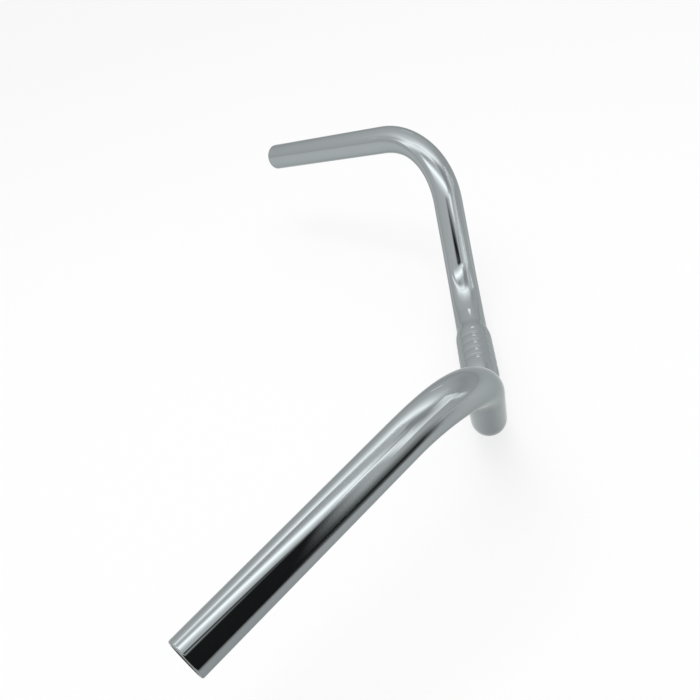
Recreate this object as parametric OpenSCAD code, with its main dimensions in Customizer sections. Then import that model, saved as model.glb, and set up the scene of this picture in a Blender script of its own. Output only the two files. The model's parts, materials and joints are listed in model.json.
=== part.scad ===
// Riser handlebar for a bicycle: one steel tube, swaged, bent four times and open at both ends.
// The clamp seat's axis lies along X and its middle is the origin. +Y is forward and +Z is up,
// so the risers stand upright in the XZ plane and the grips sweep back towards -Y.

/* [Tube] */
// Outside diameter of the tube and of the grips
tube_d = 22.2; // [20:0.1:24]
// Thickness of the tube's wall
wall_t = 2; // [1.2:0.1:3]
// Radius that rounds the outside edge of each open end
end_round_r = 1.1; // [0.2:0.1:1.1]
// Chamfer on the inside edge of each open end
end_chamfer_w = 0.4; // [0.1:0.1:0.8]

/* [Clamp seat] */
// Diameter that the stem clamps
seat_d = 25.4; // [25:0.1:31.8]
// Length of the seat at its full diameter
seat_w = 44; // [36:1:56]
// Length of the taper from the seat down to the tube, on each side
taper_w = 16; // [8:1:20]
// Number of raised bands round the seat
band_count = 5; // [2:1:7]
// Width of the groove between two bands
groove_w = 3.5; // [1:0.5:5]
// Depth of the grooves
groove_t = 0.35; // [0.1:0.05:0.6]

/* [Shape of the centre line] */
// Middle of the bar to the corner of a lower bend
lower_corner_x = 80; // [72:1:110]
// Sideways run from the lower corner to the upper corner
riser_run = 87; // [70:1:110]
// Rise from the clamp seat to the upper corner
rise = 107; // [95:1:150]
// Sideways run from the upper corner to the end of a grip
grip_run = 128; // [110:1:200]
// Sweep of a grip's end behind the risers
grip_sweep = 148; // [120:1:190]
// Drop of a grip's end below the upper corner
grip_drop = 40; // [0:1:70]
// Radius of the lower bends
lower_bend_r = 63; // [45:1:70]
// Radius of the upper bends
upper_bend_r = 75; // [55:1:80]
// How much smaller the tube's radius is in a bend, where bending draws it
bend_draw = 0.02; // [0.01:0.01:0.1]

/* [Hidden] */
$fn = 96;

tube_r = tube_d / 2;
bore_r = tube_r - wall_t;
seat_r = seat_d / 2;
seat_bore_r = seat_r - wall_t;

// The bands and the grooves between them fill the seat from end to end
band_w = (seat_w - (band_count - 1) * groove_w) / band_count;
band_pitch = band_w + groove_w;

// Riser and grip as vectors from corner to corner
riser_v = [riser_run, 0, rise];
grip_v = [grip_run, -grip_sweep, -grip_drop];

// Bend angles, and the roll about the riser that turns the upper bend's plane
lower_a = atan2(rise, riser_run);
upper_a = acos(riser_v * grip_v / (norm(riser_v) * norm(grip_v)));
riser_up = [-sin(lower_a), 0, cos(lower_a)];
upper_roll = atan2(grip_sweep, grip_v * riser_up);

// Straight lengths left between the bends' tangent points
lower_tangent = lower_bend_r * tan(lower_a / 2);
upper_tangent = upper_bend_r * tan(upper_a / 2);
centre_l = lower_corner_x - lower_tangent;
riser_l = norm(riser_v) - lower_tangent - upper_tangent;
grip_l = norm(grip_v) - upper_tangent;

// Straight stretches run this far into the bends that they meet
lap = 0.3;
// Cutters run past the faces that they open by this much
past = 1;

// A straight stretch or a bend starts at the origin and leaves along X; a bend turns up towards Z
module along_x() rotate([0, 90, 0]) children();

module straight_rod(l, r, beyond = lap)
    along_x() translate([0, 0, -lap]) cylinder(h = l + lap + beyond, r = r);

module bend_rod(bend_r, a, r)
    translate([0, 0, bend_r]) rotate([0, 90, 0]) rotate([90, 0, 0])
        rotate_extrude(angle = a) translate([bend_r, 0]) circle(r = r - bend_draw);

// Moves its children to the end of a straight stretch or of a bend
module after_straight(l) translate([l, 0, 0]) children();

module after_bend(bend_r, a)
    translate([bend_r * sin(a), 0, bend_r * (1 - cos(a))]) rotate([0, -a, 0]) children();

// The straight middle of the bar, with the seat and its tapers, for the outside or for the bore
module centre_rod(full_r, r) {
    half = [[r, centre_l + lap], [r, seat_w / 2 + taper_w], [full_r, seat_w / 2]];
    along_x() rotate_extrude()
        polygon([[0, half[0].y], each half, for (i = [2 : -1 : 0]) [half[i].x, -half[i].y],
                 [0, -half[0].y]]);
}

// The right-hand side of a rod of radius r, from the lower bend to beyond the open end
module side_rod(r, beyond = 0)
    after_straight(centre_l) {
        bend_rod(lower_bend_r, lower_a, r);
        after_bend(lower_bend_r, lower_a) {
            straight_rod(riser_l, r);
            after_straight(riser_l) rotate([upper_roll, 0, 0]) {
                bend_rod(upper_bend_r, upper_a, r);
                after_bend(upper_bend_r, upper_a) straight_rod(grip_l, r, beyond);
            }
        }
    }

// Places its children at the middle of the right-hand open end, with X pointing out of the tube
module at_grip_end()
    after_straight(centre_l) after_bend(lower_bend_r, lower_a)
        after_straight(riser_l) rotate([upper_roll, 0, 0])
            after_bend(upper_bend_r, upper_a) after_straight(grip_l) children();

module both_sides() {
    children();
    mirror([1, 0, 0]) children();
}

// One groove, a ring cut out of the seat and centred on x
module seat_groove(x)
    translate([x, 0, 0]) along_x() rotate_extrude()
        translate([seat_r - groove_t, -groove_w / 2]) square([groove_t + past, groove_w]);

// Ring that takes the corner off the outside of an open end
module end_rounding()
    along_x() rotate_extrude() difference() {
        translate([tube_r - end_round_r, -end_round_r]) square(end_round_r + past);
        translate([tube_r - end_round_r, -end_round_r]) circle(r = end_round_r);
    }

// Cone that opens the inside edge of an open end
module end_chamfer()
    along_x() translate([0, 0, -end_chamfer_w])
        cylinder(h = end_chamfer_w + past, r1 = bore_r, r2 = bore_r + end_chamfer_w + past);

module handlebar_tube()
    color([0.66, 0.69, 0.69]) difference() {
        union() {
            centre_rod(seat_r, tube_r);
            both_sides() side_rod(tube_r);
        }
        centre_rod(seat_bore_r, bore_r);
        both_sides() side_rod(bore_r, past);
        for (i = [1 : band_count - 1]) seat_groove((i - band_count / 2) * band_pitch);
        both_sides() at_grip_end() {
            end_rounding();
            end_chamfer();
        }
    }

handlebar_tube();
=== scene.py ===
import json
import math

import bmesh
import bpy
from mathutils import Matrix, Vector


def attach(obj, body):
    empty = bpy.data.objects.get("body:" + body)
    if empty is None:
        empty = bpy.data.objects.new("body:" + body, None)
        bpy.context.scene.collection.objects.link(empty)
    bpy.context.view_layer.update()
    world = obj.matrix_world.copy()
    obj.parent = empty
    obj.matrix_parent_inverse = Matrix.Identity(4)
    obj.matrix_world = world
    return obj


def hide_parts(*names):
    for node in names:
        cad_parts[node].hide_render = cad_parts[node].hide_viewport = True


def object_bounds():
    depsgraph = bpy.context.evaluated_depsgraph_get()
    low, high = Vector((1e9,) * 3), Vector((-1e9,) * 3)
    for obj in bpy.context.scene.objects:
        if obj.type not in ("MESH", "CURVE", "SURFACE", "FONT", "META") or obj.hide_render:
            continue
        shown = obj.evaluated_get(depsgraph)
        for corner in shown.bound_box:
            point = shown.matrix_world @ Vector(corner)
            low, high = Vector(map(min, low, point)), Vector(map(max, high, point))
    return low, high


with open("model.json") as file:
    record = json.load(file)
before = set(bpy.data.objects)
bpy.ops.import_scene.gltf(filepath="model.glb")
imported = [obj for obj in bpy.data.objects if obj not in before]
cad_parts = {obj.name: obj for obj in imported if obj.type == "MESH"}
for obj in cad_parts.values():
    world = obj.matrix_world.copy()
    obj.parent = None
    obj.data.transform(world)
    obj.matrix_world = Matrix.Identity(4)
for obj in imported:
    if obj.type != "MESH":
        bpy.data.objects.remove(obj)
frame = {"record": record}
CAD_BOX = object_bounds()

bl_info = {
    "name": "Riser Handlebar",
    "version": (1, 0, 0),
    "blender": (4, 5, 0),
    "location": "View3D > Sidebar > Handlebar",
    "description": "Bends a chromed riser handlebar out of one tube and sets it in a pale studio",
    "category": "Add Mesh",
}

MOUNTS = {mount["name"]: mount for mount in frame["record"]["mounts"]}
MM = 0.001
WHITE = (1.0, 1.0, 1.0)

# How finely the tube and the floor are cut
LOWER_BEND_STEPS = 28
UPPER_BEND_STEPS = 44
SLOPE_STEPS = 6
TAPER_STEPS = 12
ROUND_SEGMENTS = 5
CHAMFER_SEGMENTS = 2
FLOOR_SIDES = 96
MERGE_DISTANCE = 0.01 * MM
SHARP_ANGLE = math.radians(30)

# Places of the sockets that can't be told apart by name
MIX_FACTOR, MIX_FIRST, MIX_SECOND, MIX_RESULT = 0, 6, 7, 2
SHADER_SHARE, SHADER_FIRST, SHADER_SECOND = 0, 1, 2


def mount_size(mount, dimension):
    """One dimension of a mount of the frame, in metres"""
    return MOUNTS[mount]["dims"][dimension] * MM


def upper_corner():
    """Where the right grip's axis meets the upright plane of the risers"""
    place, axis = Vector(MOUNTS["right_grip"]["pos_m"]), Vector(MOUNTS["right_grip"]["axis"])
    return place - axis * (place.y / axis.y)


def length_value(label, about, metres):
    """A length that a user can change"""
    return bpy.props.FloatProperty(
        name=label, description=about, default=metres,
        min=0.0, precision=4, subtype="DISTANCE", unit="LENGTH",
    )


def share_value(label, about, share):
    """A share from 0 to 1 that a user can change"""
    return bpy.props.FloatProperty(
        name=label, description=about, default=share, min=0.0, max=1.0, subtype="FACTOR"
    )


def strength_value(label, about, strength):
    """A brightness that a user can change, where 1 is white"""
    return bpy.props.FloatProperty(name=label, description=about, default=strength, min=0.0)


def place_value(label, about, metres):
    """A point that a user can change"""
    return bpy.props.FloatVectorProperty(
        name=label, description=about, default=metres, precision=4, subtype="XYZ", unit="LENGTH"
    )


def size_pair(label, about, metres):
    """The length and height of a flat panel"""
    return bpy.props.FloatVectorProperty(
        name=label, description=about, default=metres, size=2, min=0.0, unit="LENGTH"
    )


def turn_pair(label, about, degrees):
    """How far a flat panel is swung round the upright and then tipped up"""
    radians = tuple(math.radians(angle) for angle in degrees)
    return bpy.props.FloatVectorProperty(
        name=label, description=about, default=radians, size=2, unit="ROTATION"
    )


def colour_value(label, about, colour):
    """A colour that a user can change"""
    return bpy.props.FloatVectorProperty(
        name=label, description=about, default=colour, min=0.0, max=1.0, subtype="COLOR"
    )


class TubeShape(bpy.types.PropertyGroup):
    """Sizes of the bent tube; the ones left out here come from the frame's mounts"""

    lower_corner: length_value("Lower Corner", "Middle of the bar to the corner of a lower bend", 0.080)
    lower_bend: length_value("Lower Bend", "Radius of the lower bends", 0.063)
    upper_bend: length_value("Upper Bend", "Radius of the upper bends", 0.075)
    lower_flattening: share_value(
        "Lower Flattening", "How much the lower bends lose of their height", 0.01
    )
    upper_flattening: share_value(
        "Upper Flattening", "How much the upper bends lose of their height", 0.076
    )
    flattening_run: length_value(
        "Flattening Run", "Length over which a bend's flattening comes and goes", 0.045
    )
    taper: length_value("Taper", "Length of the taper on each side of the clamp seat", 0.016)
    bands: bpy.props.IntProperty(
        name="Bands", description="Number of raised bands round the clamp seat", default=5, min=2
    )
    groove_width: length_value("Groove Width", "Width of the groove between two bands", 0.0035)
    groove_depth: length_value("Groove Depth", "Depth of the grooves", 0.0002)
    groove_slope: length_value("Groove Slope", "Width of the soft slope at each side of a groove", 0.0015)
    rim_round: length_value("Rim Round", "Radius on the outside edge of each open end", 0.0011)
    rim_chamfer: length_value("Rim Chamfer", "Chamfer on the inside edge of each open end", 0.0004)
    sides: bpy.props.IntProperty(
        name="Sides", description="Number of faces round the tube", default=128, min=24
    )


class ChromeLook(bpy.types.PropertyGroup):
    """Colours and gloss of the plated outside and of the bare bore"""

    chrome: colour_value("Chrome", "Colour of the chrome plate", (0.37, 0.402, 0.412))
    edge_tint: colour_value(
        "Edge Tint", "Tint of the chrome where it is seen at a flat angle", (0.6, 0.62, 0.62)
    )
    roughness: share_value("Roughness", "Roughness of the clean chrome", 0.04)
    smears: share_value("Smears", "Roughness that dust and finger marks add", 0.05)
    scratch_depth: length_value("Scratch Depth", "Depth of the fine polishing lines", 0.0000006)
    bare_steel: colour_value("Bare Steel", "Colour of the unplated steel in the bore", (0.12, 0.115, 0.11))


class StudioSetup(bpy.types.PropertyGroup):
    """Floor, surroundings, lamp and camera"""

    floor_height: bpy.props.FloatProperty(
        name="Floor Height", description="Height of the floor", default=CAD_BOX[0].z, unit="LENGTH"
    )
    floor_radius: length_value("Floor Radius", "Radius of the round floor", 8.0)
    floor_colour: colour_value("Floor", "Colour of the floor", (0.8, 0.8, 0.8))
    white_share: share_value("White Share", "How much of the floor is plain white to the camera", 0.75)
    mirrored_share: share_value("Mirrored Share", "How much of the mirrored floor is plain white", 0.5)
    horizon: strength_value("Horizon", "Strength of the pale surroundings at eye level", 0.72)
    zenith: strength_value("Zenith", "Strength of the pale surroundings overhead", 0.97)
    softbox_place: place_value("Softbox Place", "Middle of the overhead softbox", (0.10, -0.10, 1.20))
    softbox_size: size_pair("Softbox Size", "Length and width of the overhead softbox", (0.9, 0.6))
    softbox_strength: strength_value("Softbox Strength", "Brightness of the softbox", 3.2)
    lens: bpy.props.FloatProperty(
        name="Lens", description="Focal length on a 36 mm sensor", default=51.006, unit="CAMERA"
    )
    camera_place: place_value("Camera Place", "Where the camera stands", (0.58536, -0.00324, 0.38584))
    camera_turn: bpy.props.FloatVectorProperty(
        name="Camera Turn",
        description="How the camera is turned",
        default=tuple(math.radians(a) for a in (57.793, 12.404, 90.315)),
        subtype="EULER",
    )


def panel_values(place, turn, size, softness, glow):
    """Settings of a soft-edged panel that only shows mirrored in the chrome"""
    return {
        "place": place_value("Place", "Middle of the panel", place),
        "turn": turn_pair("Turn", "How far the panel is swung round and then tipped up", turn),
        "size": size_pair("Size", "Length and height of the panel", size),
        "softness": length_value("Softness", "Width of the soft edge inside the panel's outline", softness),
        "glow": strength_value("Glow", "Brightness of the panel, where 1 is white", glow),
    }


class OverheadStrip(bpy.types.PropertyGroup):
    """Long strip light overhead: the broad highlight along the right grip"""

    __annotations__ = panel_values(
        place=(0.267, -0.583, 1.279), turn=(74.9, 47.9), size=(2.364, 0.708), softness=0.471, glow=2.87
    )


class RearStrip(bpy.types.PropertyGroup):
    """Strip light behind the bar: the thin highlight along the right grip"""

    __annotations__ = panel_values(
        place=(-0.335, -1.109, 0.930), turn=(82.9, 7.6), size=(2.595, 0.341), softness=0.186, glow=2.13
    )


class SideStrip(bpy.types.PropertyGroup):
    """Wide soft strip light over the left half of the bar"""

    __annotations__ = panel_values(
        place=(-0.424, -0.170, 1.219), turn=(87.1, -68.0), size=(3.027, 1.348), softness=1.118, glow=2.85
    )


class FrontWindow(bpy.types.PropertyGroup):
    """Wide, weaker light in front of the bar"""

    __annotations__ = panel_values(
        place=(-0.139, 2.121, 1.884), turn=(-24.8, 113.2), size=(3.324, 1.471), softness=0.190, glow=2.38
    )


class FrontScreen(bpy.types.PropertyGroup):
    """Tall grey screen that fades out in front of the bar"""

    __annotations__ = panel_values(
        place=(0.154, 0.613, 1.741), turn=(1.3, 90.0), size=(1.639, 3.395), softness=0.888, glow=0.53
    )


class FrontLamp(bpy.types.PropertyGroup):
    """Small low lamp in front of the bar"""

    __annotations__ = panel_values(
        place=(-0.003, 0.428, 0.235), turn=(-42.3, 90.0), size=(0.287, 0.249), softness=0.150, glow=2.39
    )


class ThinLamp(bpy.types.PropertyGroup):
    """Narrow upright lamp in front of the left riser"""

    __annotations__ = panel_values(
        place=(-0.377, 0.827, 0.559), turn=(20.0, 90.0), size=(0.031, 0.347), softness=0.067, glow=2.00
    )


class BendLamp(bpy.types.PropertyGroup):
    """Small lamp that the left upper bend mirrors"""

    __annotations__ = panel_values(
        place=(0.642, 0.572, 1.233), turn=(88.1, 45.1), size=(0.532, 0.179), softness=0.046, glow=1.99
    )


class LeftLamp(bpy.types.PropertyGroup):
    """Small lamp on the left: the thin line low on the left riser"""

    __annotations__ = panel_values(
        place=(-1.325, 0.105, 0.778), turn=(106.7, 90.0), size=(0.340, 0.079), softness=0.058, glow=2.95
    )


class DarkStand(bpy.types.PropertyGroup):
    """Dark screen on the camera's side: the black band along the right grip"""

    __annotations__ = panel_values(
        place=(0.548, -0.315, 0.022), turn=(118.8, 90.0), size=(0.904, 0.633), softness=0.086, glow=0.02
    )


class DarkFoot(bpy.types.PropertyGroup):
    """Low dark screen by the right grip"""

    __annotations__ = panel_values(
        place=(0.367, -0.066, 0.053), turn=(121.4, 90.0), size=(0.601, 0.210), softness=0.111, glow=0.02
    )


class DarkBar(bpy.types.PropertyGroup):
    """High dark screen: the black streak along the left riser"""

    __annotations__ = panel_values(
        place=(0.959, -0.023, 1.398), turn=(84.7, 90.0), size=(1.290, 0.724), softness=0.384, glow=0.00
    )


class DarkBeam(bpy.types.PropertyGroup):
    """Thin dark beam overhead, which parts the highlights of the right lower bend"""

    __annotations__ = panel_values(
        place=(0.031, 0.677, 0.891), turn=(170.9, 36.6), size=(0.973, 0.036), softness=0.026, glow=0.28
    )


class DarkPatch(bpy.types.PropertyGroup):
    """Soft dark square overhead, which parts the strip lights"""

    __annotations__ = panel_values(
        place=(-0.386, -0.538, 1.331), turn=(0.0, 0.0), size=(1.256, 1.158), softness=0.783, glow=0.00
    )


class GreyEdge(bpy.types.PropertyGroup):
    """Grey stripe along the floor by the right grip"""

    __annotations__ = panel_values(
        place=(0.348, 0.168, -0.011), turn=(-81.9, 0.0), size=(2.585, 0.666), softness=0.532, glow=0.45
    )


class GreyScreen(bpy.types.PropertyGroup):
    """Low grey screen in front of the bar"""

    __annotations__ = panel_values(
        place=(-0.167, 0.281, 0.243), turn=(28.7, 90.0), size=(0.732, 0.432), softness=0.294, glow=0.61
    )


class Value:
    """A number that varies over a surface; arithmetic on it adds Math nodes to its finish"""

    def __init__(self, finish, socket):
        self.finish = finish
        self.socket = socket

    def math(self, operation, *numbers):
        inputs = dict(enumerate(numbers))
        return self.finish.node("ShaderNodeMath", {"operation": operation}, inputs).value()

    def __add__(self, other):
        return self.math("ADD", self, other)

    def __sub__(self, other):
        return self.math("SUBTRACT", self, other)

    def __mul__(self, other):
        return self.math("MULTIPLY", self, other)

    def __rsub__(self, other):
        return self.math("SUBTRACT", other, self)

    def __pow__(self, power):
        return self.math("POWER", self, power)

    def __abs__(self):
        return self.math("ABSOLUTE", self)

    __radd__ = __add__
    __rmul__ = __mul__


class FinishNode:
    """A node of a finish, whose outputs are read as values"""

    def __init__(self, finish, node):
        self.finish = finish
        self.made = node

    def value(self, output=0):
        return Value(self.finish, self.made.outputs[output])


class Finish:
    """A material, or the world, whose nodes are added one call at a time"""

    def __init__(self, owner):
        self.owner = owner
        owner.use_nodes = True
        self.tree = owner.node_tree
        self.tree.nodes.clear()

    def node(self, kind, settings=None, inputs=None):
        """Adds a node, gives it its settings, and then sets or links its sockets"""
        made = self.tree.nodes.new(kind)
        for name, setting in (settings or {}).items():
            if name == "stops":
                self.set_stops(made.color_ramp, setting)
            else:
                setattr(made, name, setting)
        for name, given in (inputs or {}).items():
            if isinstance(given, Value):
                self.tree.links.new(given.socket, made.inputs[name])
            else:
                made.inputs[name].default_value = given
        return FinishNode(self, made)

    @staticmethod
    def set_stops(ramp, stops):
        """Gives a colour ramp its stops, each a place and a grey"""
        while len(ramp.elements) > len(stops):
            ramp.elements.remove(ramp.elements[-1])
        while len(ramp.elements) < len(stops):
            ramp.elements.new(1.0)
        for element, (place, grey) in zip(ramp.elements, stops):
            element.position = place
            element.color = (grey, grey, grey, 1.0)


def new_material(name):
    """The finish of a new, empty material"""
    return Finish(bpy.data.materials.new(name))


def with_alpha(colour):
    """A colour as a socket takes it, fully opaque"""
    return (*colour, 1.0)


class GrowingTube:
    """One wall of the tube, grown ring by ring along its centre line"""

    def __init__(self, bm, radius, sides, unbent):
        self.bm = bm
        self.unbent = unbent
        self.here = Matrix.Identity(4)
        self.roll = 0.0
        self.run = 0.0
        self.scale = Vector((radius, radius))
        upright = Matrix.Rotation(math.radians(90), 4, "Y")
        ring = bmesh.ops.create_circle(bm, segments=sides, radius=radius, matrix=upright)["verts"]
        self.verts = ring
        self.edges = list({edge for vert in ring for edge in vert.link_edges})
        self.note_unbent()

    def take_front(self, geometry):
        """Keeps the newest ring as the front that grows on"""
        self.verts = [part for part in geometry if isinstance(part, bmesh.types.BMVert)]
        ring = set(self.verts)
        self.edges = [
            part for part in geometry
            if isinstance(part, bmesh.types.BMEdge) and set(part.verts) <= ring
        ]

    def note_unbent(self):
        """Notes on each point of the front where it lay before the tube was bent"""
        level = (self.here @ Matrix.Rotation(-self.roll, 4, "X")).inverted()
        for vert in self.verts:
            flat = level @ vert.co
            vert[self.unbent] = (self.run, flat.y, flat.z)

    def widen(self, width, height):
        """Gives the front its half width and half height, the height lying in the plane of the bend"""
        change = (1.0, width / self.scale.x, height / self.scale.y)
        bmesh.ops.scale(self.bm, vec=change, space=self.here.inverted(), verts=self.verts)
        self.scale = Vector((width, height))

    def straight(self, length, radius=None):
        """Runs straight on, and ends at the given radius"""
        grown = bmesh.ops.extrude_edge_only(self.bm, edges=self.edges)
        self.take_front(grown["geom"])
        step = self.here.to_3x3() @ Vector((length, 0, 0))
        bmesh.ops.translate(self.bm, vec=step, verts=self.verts)
        self.here = self.here @ Matrix.Translation((length, 0, 0))
        self.run += length
        if radius:
            self.widen(radius, radius)
        self.note_unbent()

    def bend(self, radius, angle, steps, flattening, fade):
        """Bends upwards, flattening the section as a bender does, but for a fade at each end"""
        full = self.scale.x
        for step in range(1, steps + 1):
            centre = self.here @ Vector((0, 0, radius))
            axis = self.here.to_3x3() @ Vector((0, -1, 0))
            grown = bmesh.ops.spin(
                self.bm, geom=self.verts + self.edges, cent=centre, axis=axis,
                angle=angle / steps, steps=1, use_merge=False,
            )
            self.take_front(grown["geom_last"])
            turn = Matrix.Rotation(angle / steps, 4, axis)
            self.here = Matrix.Translation(centre) @ turn @ Matrix.Translation(-centre) @ self.here
            self.run += radius * angle / steps
            from_end = radius * angle * min(step, steps - step) / steps
            loss = flattening * soft_step(from_end / fade)
            self.widen(full * (1 + loss), full * (1 - loss))
            self.note_unbent()

    def turn(self, angle):
        """Rolls the plane of the next bend"""
        self.here = self.here @ Matrix.Rotation(angle, 4, "X")
        self.roll += angle


def soft_step(x):
    """Rises softly from 0 to 1"""
    x = min(max(x, 0.0), 1.0)
    return x * x * (3 - 2 * x)


def seat_outline(shape, full, thin, grooved):
    """Distance from the middle and radius of each ring of the clamp seat and its taper"""
    half = mount_size("stem_clamp", "length_mm") / 2
    band = (2 * half - (shape.bands - 1) * shape.groove_width) / shape.bands
    pitch = band + shape.groove_width
    rings = []
    if grooved:
        for index in range(shape.bands - 1):
            middle = (index - (shape.bands - 2) / 2) * pitch
            for side in (-1, 1):
                edge = middle + side * shape.groove_width / 2
                for step in range(SLOPE_STEPS + 1):
                    across = (step / SLOPE_STEPS - 0.5) * shape.groove_slope
                    share = soft_step(0.5 - side * across / shape.groove_slope)
                    rings.append((edge + across, full - shape.groove_depth * share))
    for step in range(TAPER_STEPS + 1):
        share = step / TAPER_STEPS
        rings.append((half + share * shape.taper, full + (thin - full) * soft_step(share)))
    return sorted(ring for ring in rings if ring[0] > 0)


def grow_half(bm, shape, unbent, radius, seat_radius, grooved):
    """Grows the right-hand half of one wall, from the middle of the bar to the open end"""
    corner = upper_corner()
    grip = MOUNTS["right_grip"]
    riser = corner - Vector((shape.lower_corner, 0, 0))
    along_grip = Vector(grip["axis"])
    lower_angle = riser.angle(Vector((1, 0, 0)))
    upper_angle = riser.angle(along_grip)
    riser_up = Vector((-riser.z, 0, riser.x)).normalized()
    roll = math.atan2(-along_grip.y, along_grip.dot(riser_up))
    lower_tangent = shape.lower_bend * math.tan(lower_angle / 2)
    upper_tangent = shape.upper_bend * math.tan(upper_angle / 2)
    grip_length = 2 * ((Vector(grip["pos_m"]) - corner).length - upper_tangent)

    middle_radius = seat_radius - (shape.groove_depth if grooved and shape.bands % 2 == 0 else 0)
    wall = GrowingTube(bm, middle_radius, shape.sides, unbent)
    for place, ring_radius in seat_outline(shape, seat_radius, radius, grooved):
        wall.straight(place - wall.run, ring_radius)
    wall.straight(shape.lower_corner - lower_tangent - wall.run)
    wall.bend(
        shape.lower_bend, lower_angle, LOWER_BEND_STEPS, shape.lower_flattening, shape.flattening_run
    )
    wall.straight(riser.length - lower_tangent - upper_tangent)
    wall.turn(roll)
    wall.bend(
        shape.upper_bend, upper_angle, UPPER_BEND_STEPS, shape.upper_flattening, shape.flattening_run
    )
    wall.straight(grip_length)
    return wall


def ease_edge(bm, edges, offset, segments):
    """Rounds or chamfers a ring of edges"""
    bmesh.ops.bevel(
        bm, geom=edges, offset=offset, offset_type="OFFSET", affect="EDGES",
        segments=segments, profile=0.5, material=-1, clamp_overlap=True,
    )


def bent_tube(shape, outside, inside):
    """The whole bar as one closed mesh: plated outside, bore, and a rim at each open end"""
    mesh = bpy.data.meshes.new("chromed_riser_bar")
    bm = bmesh.new()
    unbent = bm.verts.layers.float_vector.new("unbent")
    tube_radius = mount_size("right_grip", "r_mm")
    bore_radius = mount_size("right_end_bore", "r_mm")
    seat_radius = mount_size("stem_clamp", "r_mm")
    wall_thickness = tube_radius - bore_radius
    outer = grow_half(bm, shape, unbent, tube_radius, seat_radius, grooved=True)
    plated = set(bm.faces)
    inner = grow_half(bm, shape, unbent, bore_radius, seat_radius - wall_thickness, grooved=False)
    for face in set(bm.faces) - plated:
        face.material_index = 1
    outer_rim, inner_rim = outer.edges, inner.edges
    # Two rings round one middle would be bridged crosswise, so one is drawn out and put back
    apart = inner.here.to_3x3() @ Vector((wall_thickness, 0, 0))
    bmesh.ops.translate(bm, vec=apart, verts=inner.verts)
    bmesh.ops.bridge_loops(bm, edges=outer_rim + inner_rim)
    bmesh.ops.translate(bm, vec=-apart, verts=inner.verts)
    bmesh.ops.recalc_face_normals(bm, faces=bm.faces[:])
    ease_edge(bm, outer_rim, shape.rim_round, ROUND_SEGMENTS)
    ease_edge(bm, inner_rim, shape.rim_chamfer, CHAMFER_SEGMENTS)
    whole = bm.verts[:] + bm.edges[:] + bm.faces[:]
    bmesh.ops.mirror(
        bm, geom=whole, matrix=Matrix.Identity(4), merge_dist=MERGE_DISTANCE, axis="X"
    )
    for vert in bm.verts:
        if vert.co.x < 0:
            vert[unbent].x *= -1
    bmesh.ops.recalc_face_normals(bm, faces=bm.faces[:])
    for face in bm.faces:
        face.smooth = True
    bm.to_mesh(mesh)
    bm.free()
    mesh.set_sharp_from_angle(angle=SHARP_ANGLE)
    mesh.materials.append(outside)
    mesh.materials.append(inside)
    return mesh


def chrome_finish(look):
    """Bright chrome with faint smears and the fine lines that polishing leaves along the tube"""
    line_scale, line_detail = (6.0, 900.0, 900.0), 2.0
    smear_scale, smear_detail, smear_roughness = 28.0, 4.0, 0.6
    clean_below, smeared_above = 0.45, 0.75
    finish = new_material("polished_chrome")
    unbent = finish.node("ShaderNodeAttribute", {"attribute_name": "unbent"}).value("Vector")
    along = finish.node(
        "ShaderNodeMapping", {"vector_type": "POINT"}, {"Vector": unbent, "Scale": line_scale}
    ).value()
    lines = finish.node(
        "ShaderNodeTexNoise", {}, {"Vector": along, "Scale": 1.0, "Detail": line_detail}
    ).value("Fac")
    smears = finish.node("ShaderNodeTexNoise", {}, {
        "Vector": unbent,
        "Scale": smear_scale,
        "Detail": smear_detail,
        "Roughness": smear_roughness,
    }).value("Fac")
    smear_mask = finish.node(
        "ShaderNodeValToRGB", {"stops": [(clean_below, 0.0), (smeared_above, 1.0)]}, {"Fac": smears}
    ).value("Color")
    bump = finish.node(
        "ShaderNodeBump", {}, {"Height": lines, "Distance": look.scratch_depth, "Strength": 1.0}
    ).value("Normal")
    shader = finish.node("ShaderNodeBsdfPrincipled", {}, {
        "Base Color": with_alpha(look.chrome),
        "Metallic": 1.0,
        "Specular Tint": with_alpha(look.edge_tint),
        "Roughness": look.roughness + look.smears * smear_mask,
        "Normal": bump,
    }).value("BSDF")
    finish.node("ShaderNodeOutputMaterial", {}, {"Surface": shader})
    return finish.owner


def bore_finish(look):
    """Dull unplated steel with a little dark scale"""
    grain_scale, grain_detail, grain_roughness = 400.0, 5.0, 0.65
    grain_depth, grain_strength = 0.00008, 0.6
    least_roughness, roughness_range = 0.6, 0.25
    scale_share = 0.45
    finish = new_material("bare_bore_steel")
    place = finish.node("ShaderNodeTexCoord").value("Object")
    grain = finish.node("ShaderNodeTexNoise", {}, {
        "Vector": place,
        "Scale": grain_scale,
        "Detail": grain_detail,
        "Roughness": grain_roughness,
    }).value("Fac")
    dark_scale = [part * scale_share for part in look.bare_steel]
    colour = finish.node("ShaderNodeMix", {"data_type": "RGBA"}, {
        MIX_FACTOR: grain,
        MIX_FIRST: with_alpha(dark_scale),
        MIX_SECOND: with_alpha(look.bare_steel),
    }).value(MIX_RESULT)
    bump = finish.node(
        "ShaderNodeBump", {}, {"Height": grain, "Distance": grain_depth, "Strength": grain_strength}
    ).value()
    shader = finish.node("ShaderNodeBsdfPrincipled", {}, {
        "Base Color": colour,
        "Metallic": 0.0,
        "Specular IOR Level": 0.0,
        "Roughness": least_roughness + roughness_range * grain,
        "Normal": bump,
    }).value("BSDF")
    finish.node("ShaderNodeOutputMaterial", {}, {"Surface": shader})
    return finish.owner


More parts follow.
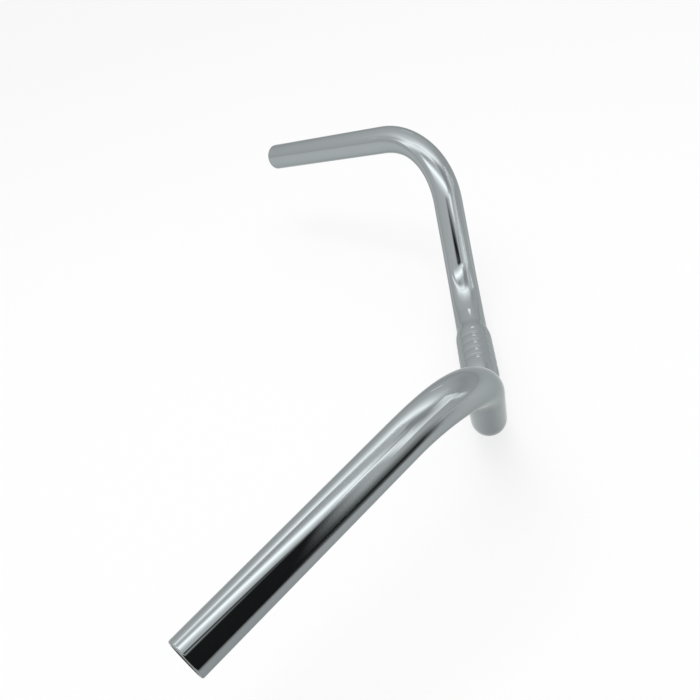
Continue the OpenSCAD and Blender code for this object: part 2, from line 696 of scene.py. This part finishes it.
def floor_finish(studio):
    """Pale floor that is seen nearly white, straight or in metal, and still takes a shadow"""
    finish = new_material("pale_floor")
    matt = finish.node("ShaderNodeBsdfDiffuse", {}, {"Color": with_alpha(studio.floor_colour)}).value()
    white = finish.node("ShaderNodeEmission", {}, {"Color": with_alpha(WHITE), "Strength": 1.0}).value()
    path = finish.node("ShaderNodeLightPath")
    straight = path.value("Is Camera Ray") + path.value("Is Transmission Ray")
    share = straight * studio.white_share + path.value("Is Glossy Ray") * studio.mirrored_share
    mixed = finish.node(
        "ShaderNodeMixShader", {}, {SHADER_SHARE: share, SHADER_FIRST: matt, SHADER_SECOND: white}
    ).value()
    finish.node("ShaderNodeOutputMaterial", {}, {"Surface": mixed})
    return finish.owner


def panel_finish(name, panel):
    """Even glow that fades out softly towards the panel's outline"""
    finish = new_material(name)
    outline = finish.node("ShaderNodeTexCoord").value("UV")
    across = finish.node("ShaderNodeSeparateXYZ", {}, {"Vector": outline})
    middle, share = 0.5, 1.0
    for axis, extent in enumerate(panel.size):
        from_edge = (middle - abs(across.value(axis) - middle)) * extent
        share = share * finish.node(
            "ShaderNodeMapRange", {"interpolation_type": "SMOOTHSTEP"},
            {"Value": from_edge, "From Max": panel.softness},
        ).value()
    clear = finish.node("ShaderNodeBsdfTransparent").value()
    glow = finish.node(
        "ShaderNodeEmission", {}, {"Color": with_alpha(WHITE), "Strength": panel.glow}
    ).value()
    mixed = finish.node(
        "ShaderNodeMixShader", {}, {SHADER_SHARE: share, SHADER_FIRST: clear, SHADER_SECOND: glow}
    ).value()
    finish.node("ShaderNodeOutputMaterial", {}, {"Surface": mixed})
    return finish.owner


def add_object(name, data):
    """Puts a mesh, light or camera into the scene"""
    thing = bpy.data.objects.new(name, data)
    bpy.context.scene.collection.objects.link(thing)
    return thing


def set_surround(studio):
    """Pale surroundings, a little brighter overhead, and white where the camera looks past the floor"""
    rise = 0.5
    world = bpy.data.worlds.new("pale_surround")
    bpy.context.scene.world = world
    finish = Finish(world)
    way = finish.node("ShaderNodeTexCoord").value("Generated")
    height = finish.node("ShaderNodeSeparateXYZ", {}, {"Vector": way}).value("Z")
    raised = height.math("MAXIMUM", height, 0.0) ** rise
    pale = studio.horizon + (studio.zenith - studio.horizon) * raised
    path = finish.node("ShaderNodeLightPath")
    straight = path.value("Is Camera Ray") + path.value("Is Transmission Ray")
    strength = pale + straight * (1 - pale)
    sky = finish.node("ShaderNodeBackground", {}, {"Color": with_alpha(WHITE), "Strength": strength})
    finish.node("ShaderNodeOutputWorld", {}, {"Surface": sky.value()})


def add_floor(studio):
    """A round floor that takes the bar's shadow"""
    mesh = bpy.data.meshes.new("floor")
    bm = bmesh.new()
    lay = Matrix.Translation((0, 0, studio.floor_height))
    bmesh.ops.create_circle(
        bm, cap_ends=True, segments=FLOOR_SIDES, radius=studio.floor_radius, matrix=lay
    )
    bm.to_mesh(mesh)
    bm.free()
    mesh.materials.append(floor_finish(studio))
    add_object("floor", mesh)


def add_softbox(studio):
    """A broad soft light above, which the camera doesn't see"""
    light = bpy.data.lights.new("softbox", "AREA")
    light.shape = "RECTANGLE"
    light.size, light.size_y = studio.softbox_size
    area = light.size * light.size_y
    light.energy = studio.softbox_strength * math.pi * area
    softbox = add_object("softbox", light)
    softbox.location = studio.softbox_place
    aim = -Vector(studio.softbox_place)
    softbox.rotation_euler = aim.to_track_quat("-Z", "Y").to_euler()
    softbox.visible_camera = False
    softbox.visible_glossy = False


def add_panel(name, panel):
    """One flat panel that nothing but the chrome sees"""
    mesh = bpy.data.meshes.new(name)
    bm = bmesh.new()
    bm.loops.layers.uv.new("outline")
    swing, tip = panel.turn
    length, height = panel.size
    lie = (
        Matrix.Translation(panel.place)
        @ Matrix.Rotation(swing, 4, "Z")
        @ Matrix.Rotation(tip, 4, "X")
        @ Matrix.Diagonal((length / 2, height / 2, 1, 1))
    )
    bmesh.ops.create_grid(bm, x_segments=1, y_segments=1, size=1.0, matrix=lie, calc_uvs=True)
    bm.to_mesh(mesh)
    bm.free()
    mesh.materials.append(panel_finish(name, panel))
    thing = add_object(name, mesh)
    thing.visible_camera = False
    thing.visible_diffuse = False
    thing.visible_transmission = False
    thing.visible_shadow = False


def add_camera(studio):
    """The camera that takes the main picture"""
    sensor_width, nearest, farthest = 36.0, 0.01, 50.0
    data = bpy.data.cameras.new("camera")
    data.lens = studio.lens
    data.sensor_width = sensor_width
    data.clip_start = nearest
    data.clip_end = farthest
    camera = add_object("camera", data)
    camera.location = studio.camera_place
    camera.rotation_euler = studio.camera_turn
    bpy.context.scene.camera = camera


class HANDLEBAR_OT_bend_tube(bpy.types.Operator):
    """Bend the chromed tube of the riser handlebar"""

    bl_idname = "handlebar.bend_tube"
    bl_label = "Bend Tube"

    def execute(self, context):
        shape, look = context.scene.handlebar_shape, context.scene.handlebar_look
        mesh = bent_tube(shape, chrome_finish(look), bore_finish(look))
        bar = add_object("chromed_riser_bar", mesh)
        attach(bar, "root")
        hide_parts("handlebar_tube")
        # Plate this grey would mirror itself far too dark, so it mirrors the studio alone
        bar.visible_glossy = False
        return {"FINISHED"}


class HANDLEBAR_OT_set_studio(bpy.types.Operator):
    """Set the floor, the light, the reflected panels and the camera"""

    bl_idname = "handlebar.set_studio"
    bl_label = "Set Studio"

    def execute(self, context):
        studio = context.scene.handlebar_studio
        set_surround(studio)
        add_floor(studio)
        add_softbox(studio)
        add_camera(studio)
        for name in PANELS:
            add_panel(name, getattr(context.scene, name))
        context.scene.view_settings.view_transform = "Standard"
        return {"FINISHED"}


class HANDLEBAR_PT_panel(bpy.types.Panel):
    """Lists the handlebar's operators and settings"""

    bl_idname = "HANDLEBAR_PT_panel"
    bl_label = "Riser Handlebar"
    bl_space_type = "VIEW_3D"
    bl_region_type = "UI"
    bl_category = "Handlebar"

    def draw(self, context):
        for name in GROUPS:
            settings = getattr(context.scene, name)
            box = self.layout.box()
            for setting in settings.__annotations__:
                box.prop(settings, setting)
        for operator in OPERATORS:
            self.layout.operator(operator.bl_idname)


PANELS = {
    "overhead_strip": OverheadStrip,
    "rear_strip": RearStrip,
    "side_strip": SideStrip,
    "front_window": FrontWindow,
    "front_screen": FrontScreen,
    "front_lamp": FrontLamp,
    "thin_lamp": ThinLamp,
    "bend_lamp": BendLamp,
    "left_lamp": LeftLamp,
    "dark_stand": DarkStand,
    "dark_foot": DarkFoot,
    "dark_bar": DarkBar,
    "dark_beam": DarkBeam,
    "dark_patch": DarkPatch,
    "grey_edge": GreyEdge,
    "grey_screen": GreyScreen,
}
GROUPS = {
    "handlebar_shape": TubeShape,
    "handlebar_look": ChromeLook,
    "handlebar_studio": StudioSetup,
    **PANELS,
}
OPERATORS = (HANDLEBAR_OT_bend_tube, HANDLEBAR_OT_set_studio)
CLASSES = (*GROUPS.values(), *OPERATORS, HANDLEBAR_PT_panel)


def register():
    for cls in CLASSES:
        bpy.utils.register_class(cls)
    for name, group in GROUPS.items():
        setattr(bpy.types.Scene, name, bpy.props.PointerProperty(type=group))


def unregister():
    for name in GROUPS:
        delattr(bpy.types.Scene, name)
    for cls in reversed(CLASSES):
        bpy.utils.unregister_class(cls)


def main():
    register()
    bpy.ops.handlebar.bend_tube()
    bpy.ops.handlebar.set_studio()


if __name__ == "__main__":
    main()
